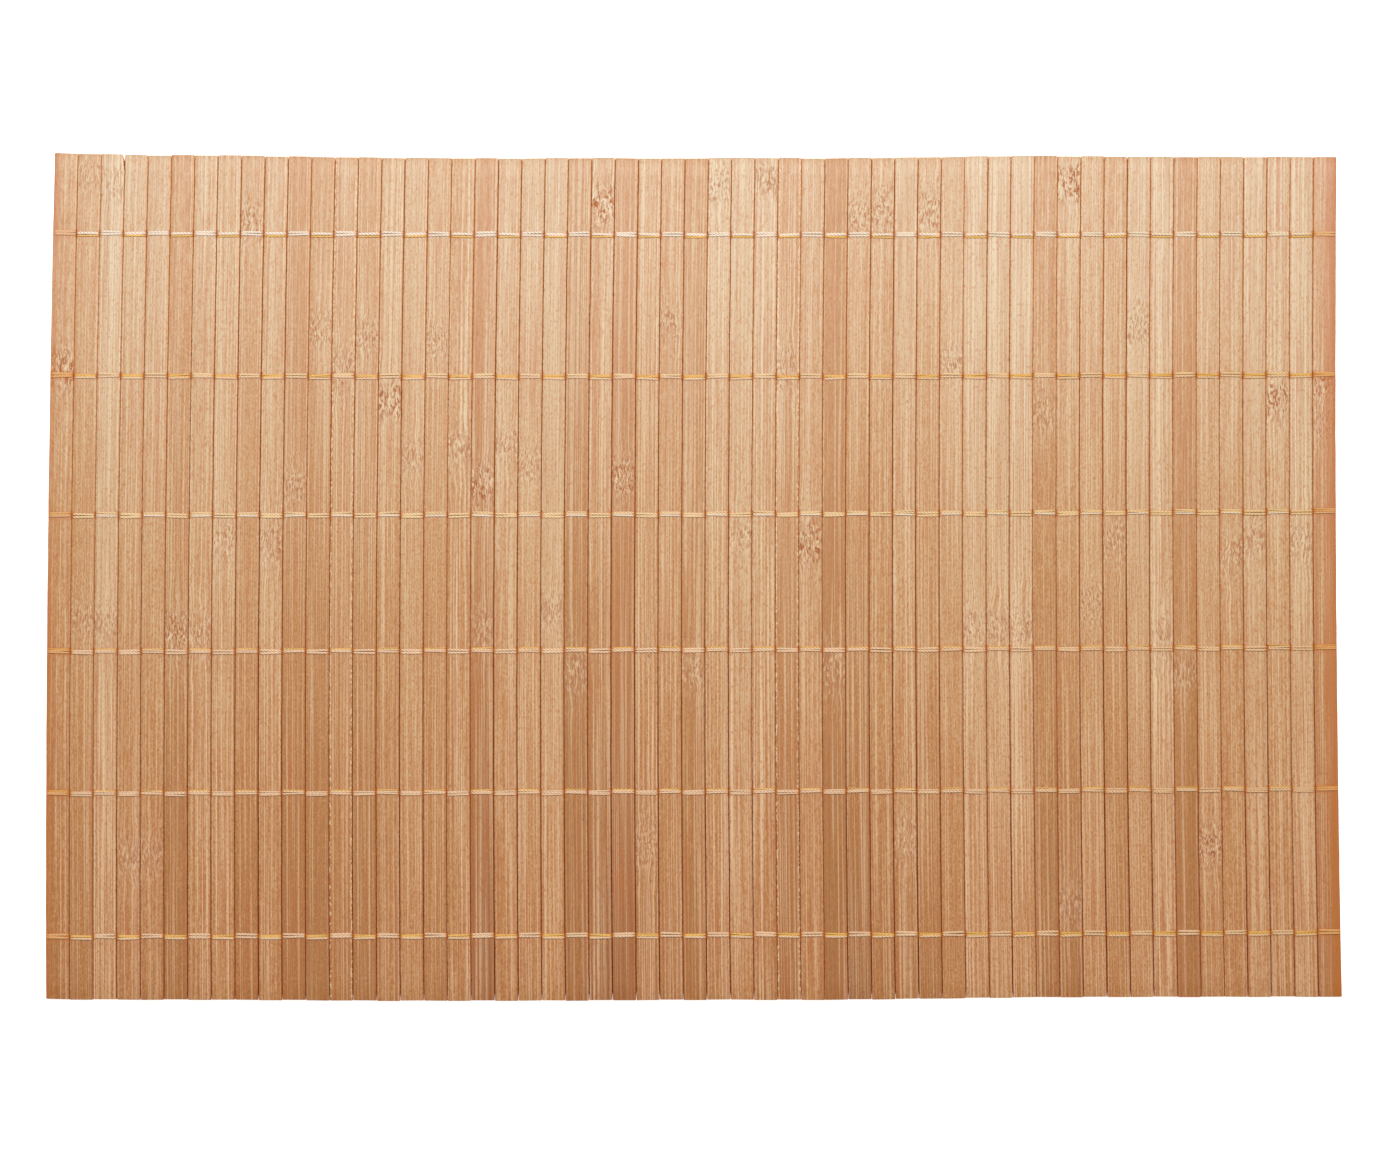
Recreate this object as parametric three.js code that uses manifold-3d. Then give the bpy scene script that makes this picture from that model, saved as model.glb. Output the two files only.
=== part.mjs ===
// Bamboo placemat: 55 flat slats side by side, held by six rows of twined thread.
// Units are millimetres. X runs across the slats, Y along them, and Z is up.
// The mat lies flat: the undersides of the thread rows are at z = 0.

import * as THREE from 'three';
import { mergeVertices } from 'three/addons/utils/BufferGeometryUtils.js';
import Module from 'manifold-3d';

// Slats
const SLAT_COUNT = 55;
const MAT_WIDTH = 450;            // outer edge to outer edge
const MAT_DEPTH = 294.8;          // typical slat, end to end
const SLAT_GAP = 0.74;
const SLAT_THICKNESS = 1.4;
const SLAT_EDGE = 0.2;            // bevel along the two upper edges
const SLAT_BOW = 1.0;             // how far the middle of every slat stands to the left of its ends
const BOW_STEPS = 4;              // straight stretches that make up the bow
const MAT_SAG = 0.3;              // how far the middle slats stand nearer than the outer ones
const END_WAVER = 0.1;            // small uneven steps from one slat's end to the next

// Thread
const THREAD_THICKNESS = 0.3;     // height of a run that is pressed flat on a slat
const THREAD_WIDTH = 1.9;
const THREAD_SHIFT = 0.35;        // one cord lies this far beyond the row's line, the other nearer
const THREAD_CLEARANCE = 0.3;     // between a run and the slat's face
const WEB_THICKNESS = 0.18;       // where the two cords cross, in the gap between two slats
const THREAD_DIP = 0.2;           // how far an upper run drops towards the gap
const DIP_LENGTH = 0.9;

// Glue beads in the last gap
const BEAD_LENGTH = 2.2;
const BEAD_HEIGHT = 0.7;
const BEAD_BITE = 0.1;            // how far a bead reaches into each slat

// Colours
const PALE_BAMBOO = 0xe3bb8f;
const DARK_BAMBOO = 0xcf9f6e;
const CREAM_THREAD = 0xe9d6b0;

const SLAT_PITCH = (MAT_WIDTH + SLAT_GAP) / SLAT_COUNT;
const SLAT_WIDTH = SLAT_PITCH - SLAT_GAP;
const SLAT_BOTTOM = THREAD_THICKNESS + THREAD_CLEARANCE;
const SLAT_TOP = SLAT_BOTTOM + SLAT_THICKNESS;
const THREAD_TOP = SLAT_TOP + THREAD_CLEARANCE + THREAD_THICKNESS;
const HALF_WIDTH = MAT_WIDTH / 2;
const HALF_DEPTH = MAT_DEPTH / 2;

// Rows of thread: their distance from the mat's middle, and how far each drifts at its left, middle and right
const ROWS = [
  { name: 'thread_row_1', y: 120.0, left: 0.6, middle: 0.0, right: -0.4 },
  { name: 'thread_row_2', y: 70.0, left: 0.5, middle: 0.0, right: 0.0 },
  { name: 'thread_row_3', y: 21.7, left: -0.1, middle: 0.0, right: 0.2 },
  { name: 'thread_row_4', y: -25.9, left: -0.2, middle: 0.2, right: 0.1 },
  { name: 'thread_row_5', y: -75.3, left: -0.1, middle: 0.1, right: 0.1 },
  { name: 'thread_row_6', y: -125.2, left: 0.0, middle: 0.1, right: 0.0 },
];

// Uneven ends: how far they stand beyond (+) the straight line, or nearer than it (-), at the far and near side
const ENDS = [
  { slat: 1, far: 1.5, near: 0.6 },
  { slat: 5, far: 0.8, near: 0.4 },
  { slat: 7, far: 1.0, near: 0.4 },
  { slat: 11, far: 0.4, near: 0.2 },
  { slat: 15, far: 0.0, near: -0.1 },
  { slat: 21, far: -0.3, near: -0.2 },
  { slat: 23, far: 0.0, near: -0.2 },
  { slat: 27, far: -0.4, near: -0.1 },
  { slat: 30, far: 0.0, near: -0.1 },
  { slat: 33, far: -0.4, near: -0.3 },
  { slat: 38, far: 0.0, near: 0.0 },
  { slat: 42, far: 0.5, near: 0.3 },
  { slat: 47, far: 0.0, near: 0.2 },
  { slat: 55, far: -0.3, near: -0.1 },
];

// Straight-line reading of a table between its rows
function readTable(table, keyColumn, valueColumn, key) {
  const after = Math.max(1, table.findIndex((row) => row[keyColumn] >= key));
  const low = table[after - 1];
  const high = table[after];
  const share = (key - low[keyColumn]) / (high[keyColumn] - low[keyColumn]);
  return THREE.MathUtils.lerp(low[valueColumn], high[valueColumn], share);
}

const slatCentre = (slat) => (slat - (SLAT_COUNT + 1) / 2) * SLAT_PITCH;
const sagAt = (x) => -MAT_SAG * (1 - (x / HALF_WIDTH) ** 2);

// The bow is a parabola drawn in straight stretches, which the slats and the rows of thread share
const BOW = Array.from({ length: BOW_STEPS + 1 }, (_, i) => {
  const y = -HALF_DEPTH + (i * MAT_DEPTH) / BOW_STEPS;
  return { y, x: -SLAT_BOW * (1 - (y / HALF_DEPTH) ** 2) };
});
const bowAt = (y) => readTable(BOW, 'y', 'x', y);

function positionsOnly(geometry) {
  geometry.deleteAttribute('normal');
  geometry.deleteAttribute('uv');
  return mergeVertices(geometry, 1e-4);
}

// Section of a slat across X and Z, flat below and with bevelled upper edges
function slatSection() {
  const half = SLAT_WIDTH / 2;
  const section = new THREE.Shape();
  section.moveTo(-half, SLAT_BOTTOM);
  section.lineTo(half, SLAT_BOTTOM);
  section.lineTo(half, SLAT_TOP - SLAT_EDGE);
  section.lineTo(half - SLAT_EDGE, SLAT_TOP);
  section.lineTo(-half + SLAT_EDGE, SLAT_TOP);
  section.lineTo(-half, SLAT_TOP - SLAT_EDGE);
  return section;
}

// One slat: the section drawn out towards the viewer, bowed, and cut along the uneven outline at its ends
function slatGeometry(slat) {
  const waver = END_WAVER * Math.sin(slat * 2.4);
  const geometry = new THREE.ExtrudeGeometry(slatSection(), {
    depth: BOW_STEPS,
    steps: BOW_STEPS,
    bevelEnabled: false,
  });
  const point = geometry.getAttribute('position');
  for (let i = 0; i < point.count; i += 1) {
    const station = BOW_STEPS - Math.round(point.getZ(i));
    const across = point.getX(i);
    const x = slatCentre(slat) + across;
    const key = THREE.MathUtils.clamp(slat + across / SLAT_PITCH, 1, SLAT_COUNT);
    let y = BOW[station].y + sagAt(x);
    if (station === BOW_STEPS) y += readTable(ENDS, 'slat', 'far', key) + waver;
    if (station === 0) y += readTable(ENDS, 'slat', 'near', key) + waver;
    point.setXYZ(i, x + BOW[station].x, y, point.getY(i));
  }
  return positionsOnly(geometry);
}

// Side view of a thread row, as polygons of [x, z] that share their corners:
// a run over and a run under each slat, and a web in each gap, where the two cords cross
function rowPolygons() {
  const upperFace = THREAD_TOP - THREAD_THICKNESS;
  const dipped = THREAD_TOP - THREAD_DIP;
  const webHalf = WEB_THICKNESS / 2;
  const polygons = [];
  for (let slat = 1; slat <= SLAT_COUNT; slat += 1) {
    const isFirst = slat === 1;
    const isLast = slat === SLAT_COUNT;
    const left = isFirst ? -HALF_WIDTH : slatCentre(slat - 0.5);
    const right = isLast ? HALF_WIDTH : slatCentre(slat + 0.5);
    const innerLeft = isFirst ? left : left + webHalf;
    const innerRight = isLast ? right : right - webHalf;
    const flatLeft = slatCentre(slat - 0.5) + DIP_LENGTH;
    const flatRight = slatCentre(slat + 0.5) - DIP_LENGTH;
    polygons.push([
      [innerLeft, upperFace],
      [innerRight, upperFace],
      [right, dipped],
      [flatRight, THREAD_TOP],
      [flatLeft, THREAD_TOP],
      [left, dipped],
    ]);
    polygons.push([
      [left, 0],
      [right, 0],
      [innerRight, THREAD_THICKNESS],
      [innerLeft, THREAD_THICKNESS],
    ]);
    if (!isLast) {
      polygons.push([
        [right, 0],
        [right + webHalf, THREAD_THICKNESS],
        [right + webHalf, upperFace],
        [right, dipped],
        [right - webHalf, upperFace],
        [right - webHalf, THREAD_THICKNESS],
      ]);
    }
  }
  return polygons;
}

// A slab from a side view: every polygon gives a near and a far face, and every edge of the outline a wall
function slabGeometry(polygons, width, placePoint) {
  const corners = new Map();
  const positions = [];
  const faces = [];
  const cornerIndex = ([x, z]) => {
    const key = `${x.toFixed(4)} ${z.toFixed(4)}`;
    if (!corners.has(key)) {
      corners.set(key, corners.size * 2);
      positions.push(...placePoint(x, -width / 2, z), ...placePoint(x, width / 2, z));
    }
    return corners.get(key);
  };
  const edges = new Map();
  for (const polygon of polygons) {
    const near = polygon.map(cornerIndex);
    near.forEach((corner, i) => {
      const next = near[(i + 1) % near.length];
      edges.set(`${corner} ${next}`, [corner, next]);
      if (i > 0 && i < near.length - 1) {
        faces.push(near[0], corner, next);
        faces.push(near[0] + 1, next + 1, corner + 1);
      }
    });
  }
  for (const [from, to] of edges.values()) {
    if (!edges.has(`${to} ${from}`)) {
      faces.push(from, from + 1, to + 1);
      faces.push(from, to + 1, to);
    }
  }
  const geometry = new THREE.BufferGeometry();
  geometry.setAttribute('position', new THREE.Float32BufferAttribute(positions, 3));
  geometry.setIndex(faces);
  return geometry;
}

// One row: upper runs lie a little beyond the row's line on odd slats, and a little nearer on even ones
function rowGeometry(row) {
  const drift = [
    { x: -HALF_WIDTH, y: row.left },
    { x: 0, y: row.middle },
    { x: HALF_WIDTH, y: row.right },
  ];
  return slabGeometry(rowPolygons(), THREAD_WIDTH, (x, across, z) => {
    const slat = Math.round(x / SLAT_PITCH + (SLAT_COUNT + 1) / 2);
    const side = slat % 2 === 1 ? 1 : -1;
    const shift = z === THREAD_TOP ? side * THREAD_SHIFT : 0;
    const y = row.y + readTable(drift, 'x', 'y', x) + sagAt(x) + shift + across;
    return [x + bowAt(row.y), y, z];
  });
}

function toSolid(wasm, geometry) {
  return new wasm.Manifold(new wasm.Mesh({
    numProp: 3,
    vertProperties: new Float32Array(geometry.getAttribute('position').array),
    triVerts: new Uint32Array(geometry.index.array),
  }));
}

// The last two slats are stuck together by a bead of glue beside each row of thread
function gluedPairGeometry(wasm) {
  const gapMiddle = slatCentre(SLAT_COUNT - 0.5);
  const bead = new THREE.BoxGeometry(SLAT_GAP + 2 * BEAD_BITE, BEAD_LENGTH, BEAD_HEIGHT);
  const last = toSolid(wasm, slatGeometry(SLAT_COUNT));
  let pair = toSolid(wasm, slatGeometry(SLAT_COUNT - 1)).add(last);
  for (const row of ROWS) {
    const rowEdge = row.y + row.right + THREAD_WIDTH / 2 + THREAD_SHIFT;
    const y = rowEdge + THREAD_CLEARANCE + BEAD_LENGTH / 2;
    const moved = bead.clone().translate(gapMiddle + bowAt(y), y, (SLAT_BOTTOM + SLAT_TOP) / 2);
    pair = pair.add(toSolid(wasm, positionsOnly(moved)));
  }
  const mesh = pair.getMesh();
  const geometry = new THREE.BufferGeometry();
  geometry.setAttribute('position', new THREE.BufferAttribute(mesh.vertProperties, 3));
  geometry.setIndex(new THREE.BufferAttribute(mesh.triVerts, 1));
  return geometry;
}

function named(name, geometry, color, roughness) {
  const mesh = new THREE.Mesh(geometry, new THREE.MeshStandardMaterial({ color, roughness, metalness: 0 }));
  mesh.name = name;
  return mesh;
}

const wasm = await Module();
wasm.setup();

const mat = new THREE.Group();
for (let slat = 1; slat <= SLAT_COUNT - 2; slat += 1) {
  const colour = slat % 4 === 3 ? DARK_BAMBOO : PALE_BAMBOO;
  mat.add(named(`slat_${String(slat).padStart(2, '0')}`, slatGeometry(slat), colour, 0.6));
}
mat.add(named(`slats_${SLAT_COUNT - 1}_and_${SLAT_COUNT}`, gluedPairGeometry(wasm), PALE_BAMBOO, 0.6));
for (const row of ROWS) {
  mat.add(named(row.name, rowGeometry(row), CREAM_THREAD, 0.9));
}

// The origin is the middle of the mat's outline
const middle = new THREE.Box3().setFromObject(mat).getCenter(new THREE.Vector3());
mat.position.set(-middle.x, -middle.y, 0);

export default mat;
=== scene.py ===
"""Bamboo placemat: planed slats side by side, held by six rows of twined yarn, seen from above.

Lengths in the tables below are millimetres, as a maker would write them.
Everything in the scene is metres.
"""

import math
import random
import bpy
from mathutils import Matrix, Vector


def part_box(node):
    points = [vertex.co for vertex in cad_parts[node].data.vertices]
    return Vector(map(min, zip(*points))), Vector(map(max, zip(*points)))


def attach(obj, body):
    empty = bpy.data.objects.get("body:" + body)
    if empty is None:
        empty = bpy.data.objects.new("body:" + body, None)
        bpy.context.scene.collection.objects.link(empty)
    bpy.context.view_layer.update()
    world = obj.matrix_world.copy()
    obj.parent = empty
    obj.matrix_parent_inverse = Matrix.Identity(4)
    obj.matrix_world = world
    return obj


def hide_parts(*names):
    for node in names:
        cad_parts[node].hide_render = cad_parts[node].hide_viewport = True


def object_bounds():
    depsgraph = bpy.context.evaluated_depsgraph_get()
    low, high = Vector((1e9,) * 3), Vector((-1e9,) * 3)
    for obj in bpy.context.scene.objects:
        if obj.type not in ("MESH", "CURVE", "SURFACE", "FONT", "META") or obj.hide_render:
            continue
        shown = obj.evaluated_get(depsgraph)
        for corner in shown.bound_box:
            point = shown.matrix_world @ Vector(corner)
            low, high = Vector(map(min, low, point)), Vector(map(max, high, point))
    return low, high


bl_info = {
    "name": "Bamboo placemat",
    "version": (1, 0, 0),
    "blender": (4, 5, 0),
    "location": "View3D > Sidebar > Placemat",
    "description": "Slats, twined yarn, glue and a photo table for a bamboo placemat",
    "category": "Add Mesh",
}

import bmesh
import bpy
import numpy as np
from mathutils import Matrix, Vector

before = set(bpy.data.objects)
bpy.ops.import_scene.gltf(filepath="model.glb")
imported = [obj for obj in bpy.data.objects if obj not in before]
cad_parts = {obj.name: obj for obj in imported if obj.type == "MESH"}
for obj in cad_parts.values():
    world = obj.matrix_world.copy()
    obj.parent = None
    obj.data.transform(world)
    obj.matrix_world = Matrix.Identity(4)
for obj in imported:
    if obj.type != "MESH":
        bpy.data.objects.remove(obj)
CAD_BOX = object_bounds()

MM = 0.001
BODY = "root"
SHARED_NODE = "slats_54_and_55"

# The mat as the solids have it: its slats, its width, the gap between two slats, and a slat's length,
# bow and heights over the table
SLAT_COUNT = 55
MAT_WIDTH = 450.0
CAD_GAP = 0.74
PITCH = (MAT_WIDTH + CAD_GAP) / SLAT_COUNT
DEPTH = 294.8
BOW = 1.0
SLAT_BOTTOM = 0.6
SLAT_TOP = 2.0

# How far the slats lean to the right at their far ends and to the left at their near ones
LEAN = 0.75

# How far from the mat's middle the slats look wholly as they do at their ends
END_REACH = 150.0

# How dark each slat is, from 1 for straw to 5 for toasted, read from left to right
SLAT_TONES = "3312242232" "4434323352" "2154533421" "2425432321" "1143231142" "21213"

# How strongly each slat is ruled with pale lines, from 0 to 1. The others are ruled faintly.
LINED_SLATS = {
    3: 1.0, 4: 0.3, 7: 0.7, 8: 0.9, 10: 0.4, 13: 0.5, 14: 0.5, 15: 0.4, 16: 0.4, 18: 1.0, 19: 0.3,
    21: 0.4, 22: 0.5, 24: 0.6, 26: 0.9, 27: 0.4, 29: 0.8, 30: 0.9, 31: 0.9, 32: 0.6, 35: 0.4,
    37: 0.4, 40: 0.9, 41: 0.8, 42: 0.9, 45: 0.4, 46: 0.3, 48: 1.0, 50: 0.4, 53: 0.5, 54: 0.9,
}
FAINT_RULING = 0.15

# Slats that are redder than the rest, from 0 to 1, or more golden, below 0
SLAT_HUES = {
    4: 0.2, 9: 0.2, 11: 0.5, 13: 0.5, 19: 0.9, 20: 0.2, 23: -0.3, 24: 0.3, 25: 1.0, 26: 0.2,
    27: 0.2, 28: -0.5, 31: 0.2, 32: 0.5, 33: 0.2, 34: -0.7, 49: -0.5, 55: 0.9,
}

# Slats that darken toward their near ends, or toward their far ones below 0: by how much tone from the
# middle to the end
SLAT_FADES = {
    5: 0.15, 8: -0.15, 9: 0.1, 15: -0.1, 18: -0.1, 19: 0.6, 21: 0.1, 22: 0.1, 24: 0.6, 25: 0.5,
    26: 0.15, 29: 0.15, 31: 0.15, 32: 0.1, 34: 0.1, 35: 0.4, 37: 0.35, 38: 0.15, 41: 0.1, 42: 0.2,
    44: 0.3, 45: -0.2, 46: -0.15,
}

# Slats that are stained along one side: how wide, in millimetres, and below 0 for the left side
SIDE_STAINS = {1: -2.0, 55: 4.2}

# Slats whose far right corner is worn off: by how much, and the share of the length where it starts
CORNER_NICKS = {3: 0.6}
NICK_START = 0.995

# Slats whose long edges are chipped pale
CHIPPED_SLATS = (13, 32)

# One small dark spot on some slats: across from the slat's middle, along from the mat's middle, and its
# radius
SMALL_DOTS = {
    4: (0.4, 17.0, 0.5), 6: (-1.0, -27.5, 1.0), 17: (-2.6, -14.0, 0.6), 26: (0.8, -28.6, 0.9),
    28: (-3.0, -22.0, 0.6), 31: (1.4, 20.0, 0.5), 37: (1.0, 60.5, 0.6), 44: (0.6, -88.0, 0.6),
    50: (-1.2, 40.0, 0.5),
}

# Where the joints of the cane show on each slat, beyond the mat's middle, the fainter one last
CANE_JOINTS = {
    1: (72,), 2: (-15, 141), 3: (-17, 137), 4: (-98,), 5: (-97,), 6: (-20,), 7: (-21,), 8: (12,),
    9: (125,), 10: (11,), 11: (31,), 12: (86,), 13: (72,), 14: (84,), 15: (61,), 16: (41,),
    17: (82,), 18: (45,), 19: (32, -19), 20: (45,), 21: (39,), 22: (-13,), 23: (-34,), 24: (130,),
    25: (34,), 26: (-93,), 27: (88,), 28: (-34,), 29: (137,), 30: (13,), 31: (139,), 32: (71,),
    33: (11,), 34: (-34,), 35: (127,), 36: (127,), 37: (-93,), 38: (127,), 39: (74,), 40: (-19,),
    41: (-20,), 42: (-19,), 43: (57,), 44: (137, -116), 45: (-11,), 46: (11,), 47: (87,),
    48: (-23,), 49: (-35,), 50: (-95,), 51: (6,), 52: (12,), 53: (60,), 54: (11,), 55: (66, 53),
}
NOWHERE = -999.0

# Slats whose joints are marked strongly, and how strong the joints of the others and the second ones are
STRONG_JOINTS = (1, 6, 15, 19, 24, 25, 33, 44, 50, 53, 55)
COMMON_JOINT = 0.65
SECOND_JOINT = 0.65

# How a slat is made: the cuts across it, so that it can bow, the steps in its rounded edges, the angle
# past which an edge looks sharp, and how far at most it turns and arches
SLAT_CUTS = 47
EDGE_STEPS = 3
SLAT_SHARPNESS = math.radians(50)
SLAT_TURN = 0.05
SLAT_ARCH = 0.04

# The noise that roughens the long edges: the size of its lumps, and how many finer sets lie on them
GRIT_SIZE = 5.0
GRIT_DEPTH = 2

# Where the random draws of the slats and of the yarn start
SLAT_SEED = 55
YARN_SEED = 6

# Yarn rows, far one first: distance from the middle, drift at the left, middle and right end, and the
# strands of the cords that go over the odd and over the even slats, from the far strand to the near one.
# w is white yarn, c cream, y straw yellow and g gold, which is thinner. A dash is a space.
YARN_ROWS = (
    {"node": "thread_row_1", "y": 120.0, "drift": (0.6, 0.0, -0.4), "odd": "w-w", "even": "w-g"},
    {"node": "thread_row_2", "y": 70.0, "drift": (0.5, 0.0, 0.0), "odd": "y-c", "even": "ggc"},
    {"node": "thread_row_3", "y": 21.7, "drift": (-0.1, 0.0, 0.2), "odd": "yyw", "even": "y-y"},
    {"node": "thread_row_4", "y": -25.9, "drift": (-0.2, 0.2, 0.1), "odd": "gcc", "even": "c-c"},
    {"node": "thread_row_5", "y": -75.3, "drift": (-0.1, 0.1, 0.1), "odd": "gcc", "even": "ccc"},
    {"node": "thread_row_6", "y": -125.2, "drift": (0.0, 0.1, 0.0), "odd": "c-c", "even": "ggc"},
)

# How wide the strands and the space are, next to one another
STRAND_SHARES = {"w": 1.0, "c": 1.0, "y": 1.0, "g": 0.62, "-": 0.2}

# How far the cord over the odd slats lies beyond its row, and the other one before it
CORD_SHIFT = 0.23

# How far a row swings toward the near side at its middle
SAG = 0.3

# The yarn is yellower at the right: the shares of red, green and blue that it loses from the middle on
YELLOWING = (0.09, 0.155, 0.32)

# The frame's origin is the middle of the mat's uneven outline, a little off the middle of its rows
ROW_SHIFT = -0.47

# The points of a strand's path over a slat, as shares of the pitch, and how near its end one may lie
PATH_STOPS = (0.0, 0.022, 0.045, 0.07, 0.1, 0.2, 0.35, 0.5, 0.65, 0.8, 0.9, 0.93, 0.955, 0.978)
END_ROOM = 0.05

# How a strand lies on a slat: how far at most it strays and slants, how steeply it dives beside the slat,
# how high it arches over it, and how much closer the strands of a cord are where they dive
STRAND_STRAY = 0.08
STRAND_SLANT = 0.3
DIVE_STEEPNESS = 6.0
STRAND_ARCH = 0.04
BUNCHING = 0.28

# A strand's section: how many sides it has, how much wider it is than its share of the cord, its plies,
# how deep the lobes are that they make, and the angle past which an edge looks sharp
STRAND_SIDES = 8
STRAND_OVERLAP = 1.2
PLIES = 2.0
LOBE_DEPTH = 0.08
YARN_SHARPNESS = math.radians(60)

# Painted shade on the yarn: it darkens from this height over the slats down, through this depth
SUNK_FROM = 0.27
SUNK_DEPTH = 0.35

# The yarn is stained with glue on the outer slats: how many pitches wide, how softly, and how strongly
YARN_STAIN_WIDTH = 1.1
YARN_STAIN_BLUR = 1.5
YARN_STAIN = 0.6

# Beads of glue in the last gap: half their size, how high they lie, how far beyond their row, and the
# faces round and up each one
BEAD_SIZE = (0.42, 1.15, 0.5)
BEAD_HEIGHT = 1.25
BEAD_BESIDE_ROW = 2.7
BEAD_SEGMENTS = 12
BEAD_RINGS = 8

# The camera: the width of its film in millimetres, and how near and far it sees, in metres
SENSOR_WIDTH = 36.0
CAMERA_REACH = (0.05, 50.0)

# Where the softbox stands, and its width and depth, in metres
SOFTBOX_PLACE = (0.0, 0.37, 0.9)
SOFTBOX_SIZE = (1.4, 0.27)

# The table's side, and how far inside the mat's outline its glow sets in and is full, in metres
TABLE_SIZE = 12.0
GLOW_FROM = -3.0 * MM
GLOW_FULL = -1.0 * MM

# How Blender stores each kind of attribute: the name of its numbers, and how many there are to a point
ATTRIBUTE_FORMS = {"FLOAT": ("value", 1), "FLOAT_VECTOR": ("vector", 3), "FLOAT_COLOR": ("color", 4)}


def row_middle(row, x):
    """How far from the mat's middle a row of yarn lies at this distance to its right, in millimetres."""
    half = MAT_WIDTH / 2
    drift = np.interp(x, (-half, 0.0, half), row["drift"])
    return row["y"] + drift - SAG * (1.0 - (x / half) ** 2) + ROW_SHIFT


def rgb(red, green, blue):
    """A colour as read on a screen, from 0 to 255, as Blender's linear values."""
    shares = (red / 255, green / 255, blue / 255)
    return tuple(
        ((share + 0.055) / 1.055) ** 2.4 if share > 0.04045 else share / 12.92 for share in shares
    )


def colour_property(name, description, default):
    """A colour that the user can change."""
    return bpy.props.FloatVectorProperty(
        name=name, description=description, subtype="COLOR", size=3, min=0.0, max=1.0, default=default
    )


def length_property(name, description, default):
    """A length that the user can change, in metres."""
    return bpy.props.FloatProperty(
        name=name, description=description, unit="LENGTH", precision=5, min=0.0, default=default
    )


class SlatSettings(bpy.types.PropertyGroup):
    """Sizes and colours of the bamboo slats."""

    gap: length_property("Gap", "Mean space between two slats, at their tops", 0.18 * MM)
    flare: length_property("Flare", "How much wider a slat is at its bottom", 0.11 * MM)
    uneven: length_property("Unevenness", "How much wider or narrower a slat is", 0.09 * MM)
    edge: length_property("Edge", "Radius planed on the long edges", 0.28 * MM)
    ragged: length_property("Raggedness", "How far a long edge wanders", 0.22 * MM)
    straw: colour_property("Straw", "Palest slats", rgb(197, 156, 108))
    honey: colour_property("Honey", "Common slats", rgb(186, 129, 66))
    toast: colour_property("Toast", "Darkest slats", rgb(162, 104, 36))
    burnt: colour_property("Burnt", "Near ends of some dark slats", rgb(138, 84, 24))
    pale_fibre: colour_property("Pale fibre", "Light lines along a slat", rgb(226, 194, 150))
    red_fibre: colour_property("Red fibre", "Warm lines along a slat", rgb(172, 92, 28))
    fleck: colour_property("Fleck", "Dark flecks at the joints of the cane", rgb(150, 74, 22))
    russet: colour_property("Russet", "Tint of the redder slats", rgb(170, 96, 24))
    golden: colour_property("Golden", "Tint of the more golden slats", rgb(166, 106, 32))
    side: colour_property("Side", "Sawn sides in the gaps, at the near end", rgb(172, 90, 34))
    # Lit far side is painted light: the sawn sides are lighter toward the far end, where the light is
    # strongest
    lit_far_side: colour_property("Far side", "Sawn sides in the gaps, at the far end", rgb(234, 168, 106))
    # Glue also tints the slats' edges where the yarn dives, partly as painted shade
    glue: colour_property("Glue", "Glue on the outer slats, and at the yarn", rgb(184, 100, 20))
    dark_glue: colour_property("Dark glue", "Darker clouds in the beads of glue", rgb(150, 84, 36))
    stain: colour_property("Stain", "Streaks along one side of the outer slats", rgb(178, 98, 2))


class YarnSettings(bpy.types.PropertyGroup):
    """Sizes and colours of the yarn."""

    cord_width: length_property("Cord width", "Width of a cord's strands, side by side", 1.62 * MM)
    strand_height: length_property("Strand height", "Thickness of one strand", 0.6 * MM)
    twist: length_property("Twist", "Length of one turn of a strand", 2.5 * MM)
    white: colour_property("White", "Whitest strand", rgb(242, 229, 211))
    cream: colour_property("Cream", "Common strand", rgb(235, 202, 166))
    yellow: colour_property("Yellow", "Straw-coloured strand", rgb(238, 209, 162))
    gold: colour_property("Gold", "Gold strand", rgb(242, 196, 104))
    groove: colour_property("Groove", "Shade in the grooves of the twist", rgb(206, 156, 114))
    fuzz: colour_property("Fuzz", "Loose fibres of the yarn", rgb(246, 230, 206))
    glued: colour_property("Glued", "Yarn that is stained with glue", rgb(214, 142, 58))
    # Sunk is painted shade, with a little dirt, where the yarn dives between two slats
    sunk_shade: colour_property("Sunk", "Yarn where it dives between two slats", rgb(184, 104, 10))


class StageSettings(bpy.types.PropertyGroup):
    """Camera and light."""

    camera_place: bpy.props.FloatVectorProperty(
        name="Camera", description="Where the camera stands", subtype="TRANSLATION",
        default=(-0.01825, -0.08635, 1.5025),
    )
    camera_target: bpy.props.FloatVectorProperty(
        name="Target", description="What the camera looks at", subtype="TRANSLATION",
        default=(0.00047, -0.00069, 0.002),
    )
    camera_roll: bpy.props.FloatProperty(
        name="Roll", description="Turn about the line of sight", subtype="ANGLE",
        default=math.radians(0.177),
    )
    lens: bpy.props.FloatProperty(name="Lens", description="Focal length in millimetres", default=111.2)
    key_power: bpy.props.FloatProperty(name="Key", description="Watts of the far softbox", default=9.8)
    sky: bpy.props.FloatProperty(name="Sky", description="Strength of the room's light", default=0.42)
    # Painted shade: the table under the mat is brown, so that the gaps show shade there
    shade_under_mat: colour_property("Under the mat", "Table as the gaps show it", rgb(176, 98, 44))


SETTINGS = {
    "placemat_slats": SlatSettings,
    "placemat_yarn": YarnSettings,
    "placemat_stage": StageSettings,
}


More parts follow.
